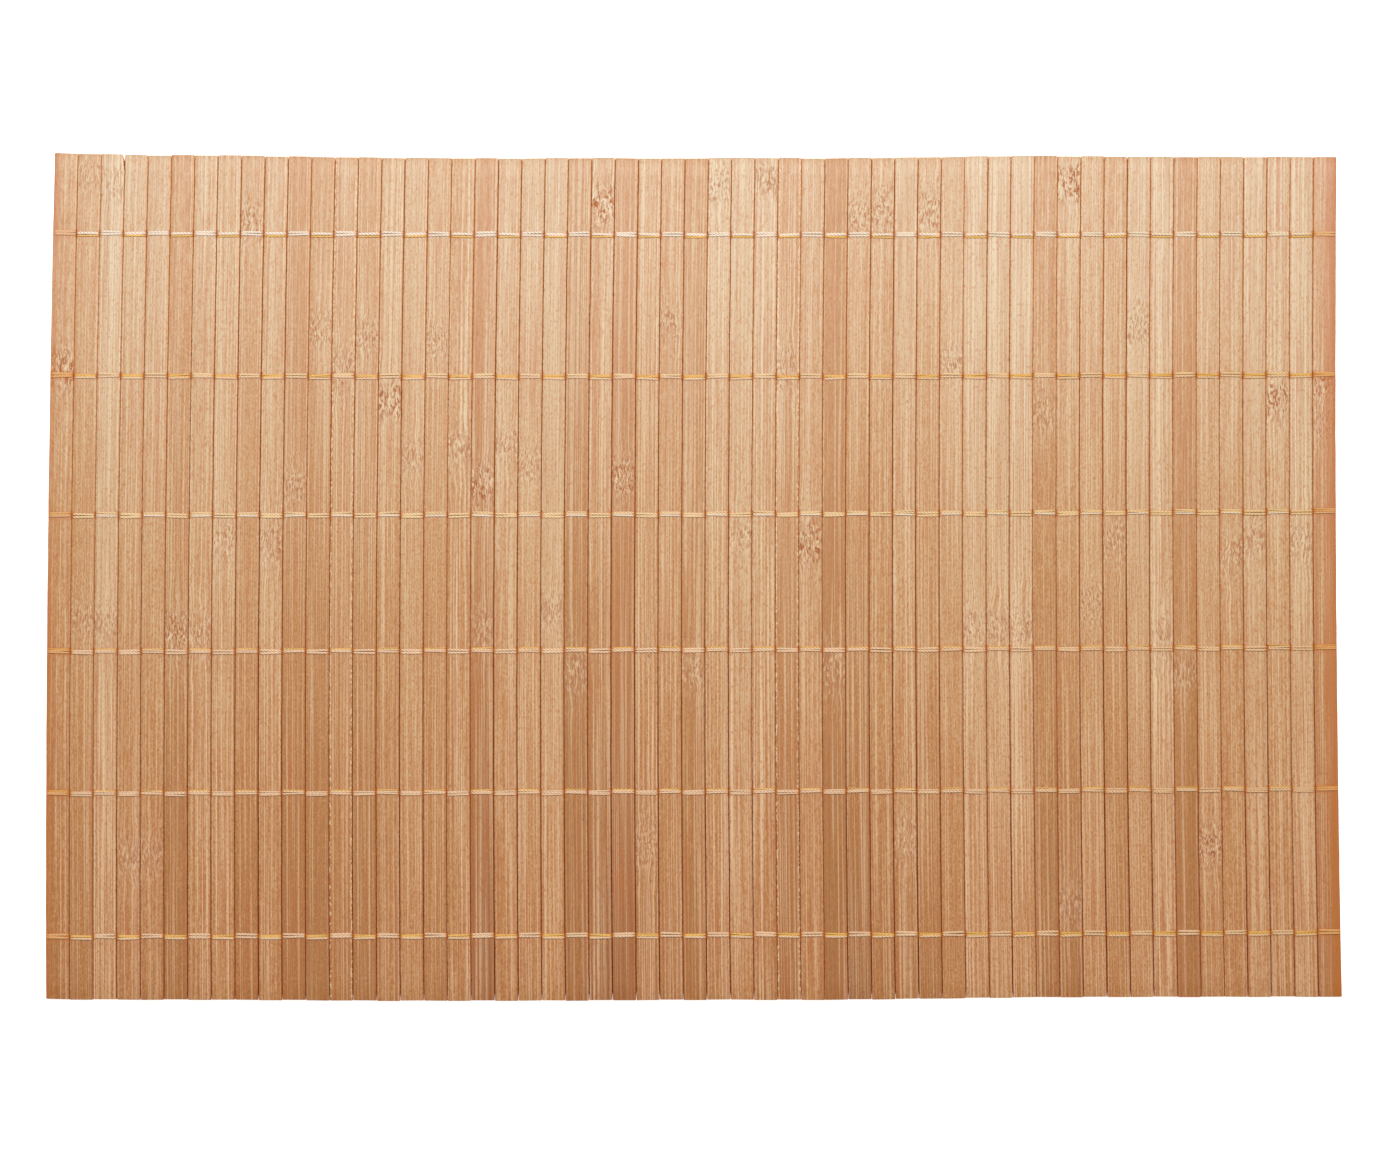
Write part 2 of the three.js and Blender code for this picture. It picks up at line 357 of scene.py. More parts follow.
class Wire:
    """A value in a material. Sums on it add Math nodes."""

    def __init__(self, finish, socket):
        self.finish = finish
        self.socket = socket

    def maths(self, operation, *values):
        node = self.finish.node("ShaderNodeMath", {"operation": operation}, dict(enumerate(values)))
        return Wire(self.finish, node.outputs[0])

    def __add__(self, other):
        return self.maths("ADD", self, other)

    __radd__ = __add__

    def __sub__(self, other):
        return self.maths("SUBTRACT", self, other)

    def __rsub__(self, other):
        return self.maths("SUBTRACT", other, self)

    def __mul__(self, other):
        return self.maths("MULTIPLY", self, other)

    __rmul__ = __mul__

    def __truediv__(self, other):
        return self.maths("DIVIDE", self, other)

    def __abs__(self):
        return self.maths("ABSOLUTE", self)

    def least(self, other):
        return self.maths("MINIMUM", self, other)

    def most(self, other):
        return self.maths("MAXIMUM", self, other)

    def sine(self):
        return self.maths("SINE", self)

    def rise(self, low, high):
        """0 below low, 1 above high and smooth between. It falls where low is above high."""
        node = self.finish.node(
            "ShaderNodeMapRange",
            {"interpolation_type": "SMOOTHSTEP"},
            {"Value": self, "From Min": low, "From Max": high},
        )
        return Wire(self.finish, node.outputs["Result"])


class Finish:
    """A material and the nodes that it is made of."""

    def __init__(self, name, constants):
        self.material = bpy.data.materials.new(name)
        self.material.use_nodes = True
        self.tree = self.material.node_tree
        self.shader = self.tree.nodes["Principled BSDF"]
        for socket, value in constants.items():
            self.shader.inputs[socket].default_value = value

    def node(self, kind, settings, inputs):
        """A node of any kind, with its settings set first and then its sockets."""
        made = self.tree.nodes.new(kind)
        for name, value in settings.items():
            setattr(made, name, value)
        for name, value in inputs.items():
            if isinstance(value, Wire):
                self.tree.links.new(value.socket, made.inputs[name])
            else:
                made.inputs[name].default_value = value
        return made

    def attribute(self, name, output="Fac"):
        return Wire(self, self.node("ShaderNodeAttribute", {"attribute_name": name}, {}).outputs[output])

    def split(self, vector):
        outputs = self.node("ShaderNodeSeparateXYZ", {}, {"Vector": vector}).outputs
        return [Wire(self, outputs[axis]) for axis in "XYZ"]

    def join(self, x, y, z):
        node = self.node("ShaderNodeCombineXYZ", {}, {"X": x, "Y": y, "Z": z})
        return Wire(self, node.outputs["Vector"])

    def place(self):
        """Across, along and up the piece, in metres."""
        return self.split(Wire(self, self.node("ShaderNodeTexCoord", {}, {}).outputs["Object"]))

    def noise(self, x, y, z, detail=0.0, distortion=0.0):
        """Noise from 0 to 1 that changes over about one unit of x, y and z."""
        node = self.node(
            "ShaderNodeTexNoise",
            {"noise_dimensions": "3D"},
            {"Vector": self.join(x, y, z), "Scale": 1.0, "Detail": detail, "Distortion": distortion},
        )
        return Wire(self, node.outputs["Fac"])

    def blend(self, share, low, high, mode="MIX"):
        """Colour low where share is 0 and high where it is 1."""
        node = self.node("ShaderNodeMix", {"data_type": "RGBA", "blend_type": mode}, {})
        for index, value in ((0, share), (6, low), (7, high)):
            if isinstance(value, Wire):
                self.tree.links.new(value.socket, node.inputs[index])
            else:
                node.inputs[index].default_value = (*value, 1.0) if index else value
        return Wire(self, node.outputs[2])

    def show(self, colour, roughness, height, relief):
        """Feeds the shader: its colour, its roughness, and bumps as high as relief, in metres."""
        bump = self.node("ShaderNodeBump", {}, {"Strength": 1.0, "Distance": relief, "Height": height})
        for name, value in (("Base Color", colour), ("Roughness", roughness)):
            self.tree.links.new(value.socket, self.shader.inputs[name])
        self.tree.links.new(bump.outputs["Normal"], self.shader.inputs["Normal"])
        return self.material


class Grain:
    """Where a point lies in its slat, in millimetres, and the joints and fibres that show there."""

    # How far apart in the noise two slats can lie, and two patterns whose shifts are 1 apart
    slat_step = 17.0
    pattern_step = 3.7

    def __init__(self, finish):
        self.finish = finish
        self.across, self.along, self.up = finish.split(finish.attribute("grain", "Vector"))
        self.seed = finish.attribute("seed")
        self.own_place = self.seed * self.slat_step
        self.near_joint, self.around_joint = self.joints()

        # Fibres run straight, and swing a little round a joint
        swing = (self.patches(width=2.6, length=9.0, shift=2.0) - 0.5) * self.around_joint * 2.0
        self.straight = self.across + swing

        self.slow = self.patches(width=7.0, length=34.0, shift=4.0, detail=1.0)
        self.fine = self.fibres(width=0.36, length=5.0, shift=7.0, detail=2.0)
        self.line = self.fibres(width=0.45, length=140.0, shift=5.0, detail=1.0)
        self.dashes = self.fibres(width=0.45, length=1.3, shift=8.0).rise(0.56, 0.78)
        flecks = self.fibres(width=0.55, length=1.9, shift=9.0, detail=1.0, distortion=0.5)
        self.dark_flecks = flecks.rise(0.5, 0.62) * self.near_joint

        # How far a point lies past a long edge, below 0 inside it, and whether it is on a sawn side
        self.half_width = finish.attribute("half_width")
        self.to_side = abs(self.across) - self.half_width + (self.fine - 0.5) * 0.25
        self.sawn = self.to_side.rise(-0.14, 0.0) * (SLAT_TOP - self.up).rise(0.06, 0.3)

    def patches(self, width, length, shift, across=None, **looks):
        """Noise whose patches are width millimetres wide and length long. Each has its own shift."""
        x = (self.across if across is None else across) / width
        y = self.along / length + self.own_place
        return self.finish.noise(x + shift * self.pattern_step, y, self.own_place + shift, **looks)

    def fibres(self, **looks):
        """The same, but it follows the fibres round a joint."""
        return self.patches(across=self.straight, **looks)

    def joints(self):
        """How near the closest joint of the cane is, 1 on it and 0 away from it: closely and widely."""
        ragged = (self.patches(width=2.0, length=5.0, shift=1.0, detail=1.0) - 0.5) * 9.0
        size = 6.5 + self.seed * 4.0
        marked = self.finish.attribute("joint_strength")
        near, around = [], []
        for name, strength in (("joint_a", 1.0), ("joint_b", SECOND_JOINT)):
            distance = abs(self.along + ragged - self.finish.attribute(name)) / size
            near.append(distance.rise(1.3, 0.2) * marked * strength)
            around.append(distance.rise(3.0, 0.6) * strength)
        return near[0].most(near[1]), around[0].most(around[1])

    def to_row(self):
        """How far along the slat the closest row of yarn is."""
        rows = []
        for name in ("far_rows", "near_rows"):
            rows += self.finish.split(self.finish.attribute(name, "Vector"))
        closest = abs(self.along - rows[0])
        for row in rows[1:]:
            closest = closest.least(abs(self.along - row))
        return closest


def bare_wood(grain, slats):
    """The slat's own tone, with pale and warm lines along its fibres."""
    finish = grain.finish

    # The tone darkens toward the near end, faster in the near third, and more on slats that fade
    near_third = -40.0
    fade = finish.attribute("fade")
    hue = finish.attribute("hue")
    broad = grain.fibres(width=1.4, length=110.0, shift=3.0, detail=1.0)
    grit = grain.patches(width=0.5, length=1.1, shift=15.0, detail=1.0)
    tone = finish.attribute("tone") * 1.12 - grain.along * 0.0018
    tone = tone + (broad - 0.5) * 0.45 + (grain.slow - 0.5) * 0.6
    tone += (grain.fine - 0.5) * 2.2 + (grit - 0.5) * 2.2
    tone += (near_third - grain.along).most(0.0) * 0.0014 - grain.along * fade / END_REACH
    light_wood = finish.blend(tone.rise(-0.3, 0.62), slats.straw, slats.honey)
    wood = finish.blend(tone.rise(0.4, 1.3), light_wood, slats.toast)
    wood = finish.blend(tone.rise(1.4, 2.1), wood, slats.burnt)
    wood = finish.blend(hue.most(0.0) * 0.35, wood, slats.russet)
    wood = finish.blend(hue.least(0.0) * -0.5, wood, slats.golden)

    lined = finish.attribute("lined")
    ruling = 1.2 + grain.seed * 0.45
    ruled = (grain.straight * math.tau / ruling).sine().rise(0.0, 1.0) * lined
    streaks = grain.line.rise(0.5, 0.64) * (0.5 + 0.4 * lined)
    pale_lines = streaks.most(ruled * grain.slow.rise(0.3, 0.6) * 0.6)
    wood = finish.blend(pale_lines * 0.85, wood, slats.pale_fibre)
    warm = grain.fibres(width=0.5, length=45.0, shift=6.0, detail=1.0)
    warm_lines = warm.rise(0.5, 0.68) * (1.0 - 0.7 * grain.slow)
    wood = finish.blend(warm_lines * 0.75, wood, slats.red_fibre)
    return finish.blend(grain.dashes * 0.5, wood, slats.red_fibre)


def with_joints(grain, wood, slats):
    """The wood with pale and dark flecks at the joints of the cane."""
    finish = grain.finish
    sparks = grain.fibres(width=0.42, length=2.0, shift=12.0, detail=1.0)
    pale_flecks = sparks.rise(0.5, 0.62) * (grain.near_joint + grain.around_joint * 0.4)
    wood = finish.blend(grain.near_joint * 0.15, wood, slats.straw)
    wood = finish.blend(pale_flecks * 0.48, wood, slats.pale_fibre)
    return finish.blend(grain.dark_flecks * 0.9, wood, slats.fleck)


def with_lit_far_end(grain, wood):
    """The wood with painted light toward its far end, where the light is strongest: less contrast in red
    and more in blue there. It is also redder at the near end.
    """
    far_red = 0.44
    least_blue = 0.1
    red, green, blue = grain.finish.split(wood)
    # Painted light: the red and blue of the far end as the strong light there shows them
    red = red + (far_red - red) * ((grain.along + 100.0) / 650.0).most(0.0)
    green = green * (grain.along.least(0.0) * 0.0004 + 0.988)
    blue = blue * 0.975 + (blue - least_blue) * ((grain.along + 140.0) / 1200.0).most(0.0)
    return grain.finish.join(red, green, blue)


def with_edges(grain, wood, slats):
    """The wood with painted shade along its long edges beside the gaps, more on the right edges, and with
    its speckled and chipped edges, its small dark spot and its sawn sides.
    """
    finish = grain.finish
    # The sawn colour lightens toward the far end as painted light, where the light is strongest
    side = finish.blend(grain.along.rise(-END_REACH, END_REACH), slats.side, slats.lit_far_side)
    # Painted shade beside the gaps: both long edges darken toward the sawn colour, the right ones more,
    # as the light comes from the left
    right_rim_shade = (grain.across - grain.half_width).rise(-0.8, -0.1)
    wood = finish.blend(grain.to_side.rise(-0.42, 0.0) * 0.35 + right_rim_shade * 0.25, wood, side)
    specks = grain.patches(width=0.5, length=1.2, shift=13.0, detail=1.0).rise(0.5, 0.66)
    wood = finish.blend(specks * grain.to_side.rise(-0.7, -0.15) * 0.55, wood, slats.fleck)
    chips = grain.patches(width=0.6, length=1.5, shift=14.0, detail=1.0).rise(0.5, 0.6)
    chipped = grain.to_side.rise(-1.0, -0.3) * finish.attribute("chipped")
    wood = finish.blend(chips * chipped * 0.8, wood, slats.pale_fibre)
    dot_across, dot_along, dot_radius = finish.split(finish.attribute("dot", "Vector"))
    off_dot = abs(grain.across - dot_across) * 1.6 + abs(grain.along - dot_along) + (grain.fine - 0.5)
    wood = finish.blend((off_dot / dot_radius).rise(1.2, 0.6) * 0.75, wood, slats.fleck)
    return finish.blend(grain.sawn, wood, side)


def with_glue(grain, wood, slats):
    """The wood with glue and painted shade where the yarn dives, glue where it ends, and the stain on the
    outer slats.
    """
    finish = grain.finish
    to_row = grain.to_row()
    # Where the yarn dives past a slat's edge, the edge takes the glue colour: partly glue, partly painted
    # shade
    glue_and_shade_at_dive = to_row.rise(1.7, 1.0) * grain.to_side.rise(-1.0, -0.3)
    wood = finish.blend(glue_and_shade_at_dive * 0.75, wood, slats.glue)
    smear = (grain.patches(width=1.2, length=1.6, shift=10.0, detail=2.0) - 0.5) * 3.0
    glued = (to_row + smear).rise(2.6, 0.8) * finish.attribute("glued")
    wood = finish.blend(glued * 0.5, wood, slats.glue)
    stain_side = finish.attribute("stain_side")
    streaks = (grain.patches(width=0.7, length=30.0, shift=11.0, detail=2.0) - 0.5) * 6.0
    past_edge = grain.across * stain_side - grain.half_width + streaks
    stained = (past_edge + finish.attribute("stain_width")).rise(-1.5, 3.0) * abs(stain_side)
    return finish.blend(stained * 0.9, wood, slats.stain)


def bamboo_finish(slats):
    """Planed bamboo. The grain attribute runs across, along and up each slat, in millimetres."""
    finish = Finish("bamboo", {"Specular IOR Level": 0.75})
    grain = Grain(finish)
    wood = bare_wood(grain, slats)
    wood = with_joints(grain, wood, slats)
    wood = with_lit_far_end(grain, wood)
    wood = with_edges(grain, wood, slats)
    wood = with_glue(grain, wood, slats)
    height = grain.fine * 0.35 + grain.line * 0.4 - grain.dashes * 0.3 - grain.dark_flecks * 0.5
    roughness = (0.38 + (grain.fine - 0.5) * 0.16 + grain.dark_flecks * 0.3).most(grain.sawn)
    return finish.show(wood, roughness, height, relief=0.05 * MM)


def yarn_finish(yarn):
    """Twisted yarn, which reads the place of each point in its strand's twist."""
    finish = Finish("yarn", {"Specular IOR Level": 0.25})
    turns, around, length = finish.split(finish.attribute("twist", "Vector"))
    ply = ((turns - around) * PLIES * math.tau).sine()
    fuzz = finish.noise(length * 2.2, around * 6.0, turns * 0.1, detail=2.0)
    dye = finish.attribute("dye", "Color")
    thread = finish.blend(ply.rise(0.1, -0.8) * 0.65, dye, yarn.groove, "MULTIPLY")
    thread = finish.blend(fuzz.rise(0.45, 0.75) * 0.2, thread, yarn.fuzz)
    thread = finish.blend(finish.attribute("stain"), thread, yarn.glued)
    # Painted shade where the yarn dives between the slats
    thread = finish.blend(finish.attribute("sunk_shade"), thread, yarn.sunk_shade)
    height = ply * 0.7 + fuzz * 0.5
    roughness = 0.72 + (fuzz - 0.5) * 0.2
    return finish.show(thread, roughness, height, relief=0.06 * MM)


def glue_finish(slats):
    """Dried glue."""
    finish = Finish("glue", {"Specular IOR Level": 0.5})
    patches_per_metre = 900.0
    cloud = finish.noise(*(axis * patches_per_metre for axis in finish.place()), detail=2.0)
    body = finish.blend(cloud.rise(0.3, 0.7), slats.glue, slats.dark_glue)
    return finish.show(body, 0.3 + cloud * 0.2, cloud, relief=0.05 * MM)


def table_finish(shade_under_mat):
    """A white table, lit from inside. Under the mat it is brown and unlit, as painted shade that the gaps
    show.
    """
    finish = Finish("table", {"Specular IOR Level": 0.0, "Emission Strength": 0.7})
    x, y, z = finish.place()
    outside = (abs(x) - CAD_BOX[1].x).most(abs(y) - CAD_BOX[1].y).rise(GLOW_FROM, GLOW_FULL)
    glow = finish.blend(outside, (0.0, 0.0, 0.0), (1.0, 1.0, 1.0))
    finish.tree.links.new(glow.socket, finish.shader.inputs["Emission Color"])
    cloud = finish.noise(x * 3.0, y * 3.0, z, detail=1.0)
    white = finish.blend(cloud, (0.96, 0.96, 0.96), (0.98, 0.98, 0.98))
    # Under the mat the table is painted shade
    body = finish.blend(outside, shade_under_mat, white)
    return finish.show(body, 0.8 + cloud * 0.1, cloud, relief=0.01 * MM)


def deselect_all():
    """Leaves nothing selected, so that an operator acts only on what is picked next."""
    if bpy.context.object and bpy.context.object.mode != "OBJECT":
        bpy.ops.object.mode_set(mode="OBJECT")
    bpy.ops.object.select_all(action="DESELECT")


def pick(piece):
    """Makes one object the only selected and active one."""
    deselect_all()
    piece.select_set(True)
    bpy.context.view_layer.objects.active = piece


def pick_edges(piece, test):
    """In edit mode, selects the edges whose two ends pass the test."""
    mesh = bmesh.from_edit_mesh(piece.data)
    for part in (*mesh.verts, *mesh.edges, *mesh.faces):
        part.select_set(False)
    for edge in mesh.edges:
        if test(edge.verts[0].co, edge.verts[1].co):
            edge.select_set(True)
    bmesh.update_edit_mesh(piece.data)


def apply_modifier(piece, kind, **settings):
    """Adds a modifier, sets it and applies it."""
    pick(piece)
    modifier = piece.modifiers.new(kind.title(), kind)
    for name, value in settings.items():
        setattr(modifier, name, value)
    bpy.ops.object.modifier_apply(modifier=modifier.name)


def add_attribute(mesh, name, kind, values):
    """Stores one value for each point of a mesh, or the same value for all."""
    field, size = ATTRIBUTE_FORMS[kind]
    count = len(mesh.vertices)
    shape = (count,) if size == 1 else (count, size)
    attribute = mesh.attributes.new(name, kind, "POINT")
    attribute.data.foreach_set(field, np.broadcast_to(np.float32(values), shape).ravel())


def face_outward(piece, sharpness):
    """Turns a new piece's faces outward and smooths it, but for edges sharper than an angle."""
    pick(piece)
    bpy.ops.object.mode_set(mode="EDIT")
    bpy.ops.mesh.select_all(action="SELECT")
    bpy.ops.mesh.normals_make_consistent(inside=False)
    bpy.ops.object.mode_set(mode="OBJECT")
    bpy.ops.object.shade_smooth_by_angle(angle=sharpness)


def lean_at(y):
    """How far the slats lean to the right at this distance beyond the mat's middle, in millimetres."""
    return LEAN * y / (DEPTH / 2)


def bow_at(y):
    """The same with their bow, which swings them to the left at the middle."""
    return -BOW * (1.0 - (y / (DEPTH / 2)) ** 2) + lean_at(y)


def planed_slat(slats):
    """The slat that all the others are copied from: a bar with planed edges and cuts across it."""
    width = PITCH * MM - slats.gap
    middle = (SLAT_BOTTOM + SLAT_TOP) / 2 * MM
    deselect_all()
    bpy.ops.mesh.primitive_cube_add(
        size=1.0,
        location=(0.0, 0.0, middle),
        scale=(width, DEPTH * MM, (SLAT_TOP - SLAT_BOTTOM) * MM),
    )
    slat = bpy.context.object
    bpy.ops.object.transform_apply(location=True, rotation=True, scale=True)
    bpy.ops.object.mode_set(mode="EDIT")
    bpy.ops.mesh.select_mode(type="EDGE")
    pick_edges(slat, lambda a, b: max(a.z, b.z) < middle)
    flare = (1.0 + slats.flare / width, 1.0, 1.0)
    bpy.ops.transform.resize(value=flare, center_override=(0.0, 0.0, 0.0))
    bpy.ops.mesh.select_all(action="SELECT")
    bpy.ops.mesh.bevel(offset=slats.edge, segments=EDGE_STEPS, profile=0.5)
    pick_edges(slat, lambda a, b: abs(a.y - b.y) > DEPTH / 2 * MM)
    bpy.ops.mesh.subdivide(number_cuts=SLAT_CUTS)
    face_outward(slat, SLAT_SHARPNESS)
    return slat


def node_of(number):
    """The CAD node that a slat stands for."""
    return SHARED_NODE if number >= SLAT_COUNT - 1 else f"slat_{number:02d}"


def ends_of(number):
    """The left edge, the near end and the far end of a slat, in metres, as the frame has them."""
    low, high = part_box(node_of(number))
    right = high.x - (PITCH * MM if number == SLAT_COUNT - 1 else 0.0)
    return right - (PITCH - CAD_GAP) * MM, low.y, high.y


def mark_slat(mesh, number, seed, grain, half_width, centre):
    """Stores what the bamboo reads on a slat: where its points lie in millimetres, and its own looks."""
    rows = [row_middle(row, centre) for row in YARN_ROWS]
    joint_a, joint_b = (*CANE_JOINTS[number], NOWHERE)[:2]
    stain = SIDE_STAINS.get(number, 0.0)
    numbers = {
        "half_width": half_width,
        "seed": seed,
        "tone": (int(SLAT_TONES[number - 1]) - 1) / 4,
        "hue": SLAT_HUES.get(number, 0.0),
        "fade": SLAT_FADES.get(number, 0.0),
        "lined": LINED_SLATS.get(number, FAINT_RULING),
        "chipped": float(number in CHIPPED_SLATS),
        "joint_a": joint_a,
        "joint_b": joint_b,
        "joint_strength": 1.0 if number in STRONG_JOINTS else COMMON_JOINT,
        "glued": float(number in (1, SLAT_COUNT)),
        "stain_side": float(np.sign(stain)),
        "stain_width": abs(stain),
    }
    vectors = {
        "grain": grain,
        "far_rows": rows[:3],
        "near_rows": rows[3:],
        "dot": SMALL_DOTS.get(number, (0.0, NOWHERE, 1.0)),
    }
    for name, value in numbers.items():
        add_attribute(mesh, name, "FLOAT", value)
    for name, value in vectors.items():
        add_attribute(mesh, name, "FLOAT_VECTOR", value)


def laid_slat(master, number, chance, grit):
    """A copy of the planed slat, bowed and cut to its own length in its own place."""
    settings = bpy.context.scene.placemat_slats
    slat = master.copy()
    slat.data = master.data.copy()
    slat.name = slat.data.name = f"bamboo_slat_{number:02d}"
    bpy.context.collection.objects.link(slat)
    mesh = slat.data
    points = np.empty(len(mesh.vertices) * 3)
    mesh.vertices.foreach_get("co", points)
    points = points.reshape(-1, 3)
    across = points[:, 0].copy()
    along_share = points[:, 1] / (DEPTH * MM) + 0.5

    # The ends are cut on the slant that leads to the neighbours' ends
    left, near, far = ends_of(number)
    _, near_before, far_before = ends_of(max(1, number - 1))
    _, near_after, far_after = ends_of(min(SLAT_COUNT, number + 1))
    run = PITCH * MM * (2 if 1 < number < SLAT_COUNT else 1)
    near_end = near + across * (near_after - near_before) / run
    far_end = far + across * (far_after - far_before) / run
    y = near_end + (far_end - near_end) * along_share

    turn = chance.uniform(-SLAT_TURN, SLAT_TURN) * MM
    wider = chance.uniform(-1.0, 1.0) * settings.uneven
    arch = chance.uniform(-SLAT_ARCH, SLAT_ARCH) * MM
    seed = chance.random()
    across *= 1.0 + wider / (PITCH * MM)
    centre = left + (PITCH - CAD_GAP) / 2 * MM
    x = centre + across + bow_at(y / MM) * MM + turn * (along_share - 0.5)
    worn = (along_share > NICK_START) & (across > 0.0)
    points[:, 0] = x - CORNER_NICKS.get(number, 0.0) * MM * worn
    points[:, 1] = y
    points[:, 2] += arch * np.sin(along_share * math.pi)
    mesh.vertices.foreach_set("co", points.ravel())
    mesh.update()

    grain = np.column_stack([across, y, points[:, 2]]) / MM
    half_width = (PITCH * MM - settings.gap + wider) / MM / 2
    mark_slat(mesh, number, seed, grain, half_width, centre / MM)
    apply_modifier(
        slat, "DISPLACE", texture=grit, texture_coords="GLOBAL", direction="X",
        strength=settings.ragged, mid_level=0.5,
    )
    return slat


class PLACEMAT_OT_camera(bpy.types.Operator):
    """Stand the camera above the mat, as in the photograph"""

    bl_idname = "placemat.camera"
    bl_label = "Camera"

    def execute(self, context):
        stage = context.scene.placemat_stage
        deselect_all()
        place = Vector(stage.camera_place)
        line = (Vector(stage.camera_target) - place).normalized()
        right = line.cross((0.0, 1.0, 0.0)).normalized()
        level = Matrix((right, right.cross(line), -line)).transposed()
        turn = level @ Matrix.Rotation(-stage.camera_roll, 3, "Z")
        bpy.ops.object.camera_add(location=place, rotation=turn.to_euler())
        camera = context.object
        camera.data.lens = stage.lens
        camera.data.sensor_width = SENSOR_WIDTH
        camera.data.clip_start, camera.data.clip_end = CAMERA_REACH
        context.scene.camera = camera
        return {"FINISHED"}


class PLACEMAT_OT_slats(bpy.types.Operator):
    """Plane one slat, copy it and lay the copies side by side"""

    bl_idname = "placemat.slats"
    bl_label = "Bamboo slats"

    def execute(self, context):
        slats = context.scene.placemat_slats
        chance = random.Random(SLAT_SEED)
        grit = bpy.data.textures.new("edge_grit", "CLOUDS")
        grit.noise_scale = GRIT_SIZE * MM
        grit.noise_depth = GRIT_DEPTH
        master = planed_slat(slats)
        material = bamboo_finish(slats)
        for number in range(1, SLAT_COUNT + 1):
            slat = laid_slat(master, number, chance, grit)
            slat.data.materials.append(material)
            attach(slat, BODY)
            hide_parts(node_of(number))
        bpy.data.objects.remove(master)
        return {"FINISHED"}


def strand_path(row, cord, offset, settings, chance):
    """Points along one strand, in millimetres: over one slat, under the next, and across in the gaps."""
    over_first = 1.0 if cord == "odd" else -1.0
    middle = (SLAT_BOTTOM + SLAT_TOP) / 2
    reach = (SLAT_TOP - SLAT_BOTTOM + settings.strand_height / MM) / 2
    start = -(SLAT_COUNT / 2) * PITCH
    low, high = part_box(row["node"])
    centre = (low.x + high.x) / 2 / MM + lean_at(row["y"])
    half = MAT_WIDTH / 2
    xs = [start + (slat + stop) * PITCH for slat in range(SLAT_COUNT) for stop in PATH_STOPS]
    xs = [-half, *(x for x in xs if abs(x) < half - END_ROOM), half]
    stray = [chance.uniform(-STRAND_STRAY, STRAND_STRAY) for _ in range(SLAT_COUNT + 1)]
    slant = [chance.uniform(-STRAND_SLANT, STRAND_SLANT) for _ in range(SLAT_COUNT + 1)]
    points = []
    for x in xs:
        phase = (x - start) / PITCH
        slat = min(SLAT_COUNT - 1, int(phase))
        swing = math.sin(phase * math.pi) * over_first
        side = math.tanh(DIVE_STEEPNESS * swing)
        spread = 1.0 - BUNCHING + BUNCHING * abs(side)
        wander = stray[slat] + slant[slat] * (phase - slat - 0.5)
        y = row_middle(row, x) + CORD_SHIFT * over_first + offset * spread + wander * abs(side)
        z = middle + side * (reach + STRAND_ARCH * (abs(swing) - 1.0))
        points.append((x + centre, y, z))
    return points


def tube_faces(rings, sides):
    """The faces of a tube with closed ends, whose points run round one ring after the other."""
    last_ring = (rings - 1) * sides
    faces = []
    for first in range(0, last_ring, sides):
        for side in range(sides):
            a = first + side
            b = first + (side + 1) % sides
            faces.append((a, b, b + sides, a + sides))
    first_cap = tuple(range(sides - 1, -1, -1))
    last_cap = tuple(range(last_ring, last_ring + sides))
    return [*faces, first_cap, last_cap]


def sweep_strand(points, width, settings):
    """Rings of points round a strand's path, in metres, their places in its twist, and how much painted
    shade they take where they dive.

    A place in the twist is the turns up to there, the share of a turn round the strand, and the length.
    """
    path = np.array(points)
    ahead = np.gradient(path, axis=0)
    ahead /= np.linalg.norm(ahead, axis=1)[:, None]
    flat = np.zeros_like(ahead)
    flat[:, 1] = 1.0
    upward = np.cross(ahead, flat)
    upward /= np.linalg.norm(upward, axis=1)[:, None]
    steps = np.linalg.norm(np.diff(path, axis=0), axis=1)
    length = np.concatenate([[0.0], np.cumsum(steps)])
    turns = length / (settings.twist / MM)
    half_width = width / 2 * STRAND_OVERLAP
    half_height = settings.strand_height / MM / 2
    rings, twists = [], []
    for side in range(STRAND_SIDES):
        angle = side / STRAND_SIDES * math.tau
        lobe = 1.0 - LOBE_DEPTH + LOBE_DEPTH * np.cos(PLIES * (angle - turns * math.tau))
        ring = path + flat * (half_width * math.cos(angle) * lobe)[:, None]
        ring += upward * (half_height * math.sin(angle) * lobe)[:, None]
        rings.append(ring)
        twists.append(np.stack([turns, np.full_like(turns, side / STRAND_SIDES), length], axis=1))
    # How much painted shade each ring takes, by its depth under the slats' tops
    sunk_shade = np.clip((SLAT_TOP + SUNK_FROM - path[:, 2]) / SUNK_DEPTH, 0.0, 1.0)
    places = np.stack(rings, axis=1) * MM
    twist = np.stack(twists, axis=1)
    return places.reshape(-1, 3), twist.reshape(-1, 3), np.repeat(sunk_shade, STRAND_SIDES)


